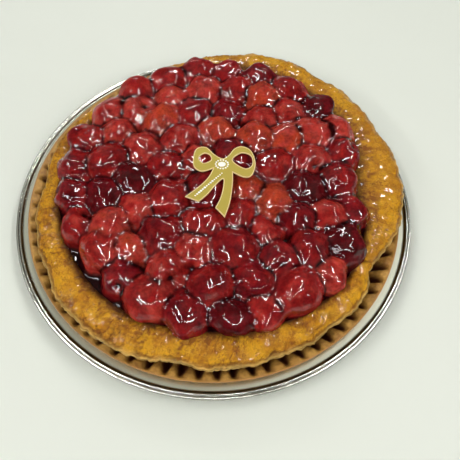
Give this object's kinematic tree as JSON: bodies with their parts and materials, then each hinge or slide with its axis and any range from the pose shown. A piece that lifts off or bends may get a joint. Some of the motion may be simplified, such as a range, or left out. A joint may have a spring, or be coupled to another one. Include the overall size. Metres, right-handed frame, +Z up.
{
  "type": "cherry pie",
  "caption": "round pie with a folded golden crust heaped with glazed pitted cherries, in a pleated paper case on a polished metal dish, with a bow-shaped card tag",
  "frame": {"origin": "middle of the dish's underside, on the surface it stands on", "axes": "+Z up, +X to the right and -Y to the front, where the tag's tails point"},
  "size_m": [0.28, 0.28, 0.0581],
  "materials": {
    "polished_steel": "mirror-polished stainless steel",
    "brown_paper": "matt greaseproof brown paper",
    "baked_pastry": "golden egg-washed pastry with a satin gloss",
    "glazed_cherry": "dark red fruit under clear glossy glaze",
    "gold_card": "olive-gold printed card with a pale cut edge"
  },
  "bodies": {
    "root": {"dish": "polished_steel", "paper_case": "brown_paper", "crust": "baked_pastry", "cherries": "glazed_cherry", "bow_tag": "gold_card"}
  },
  "joints": []
}
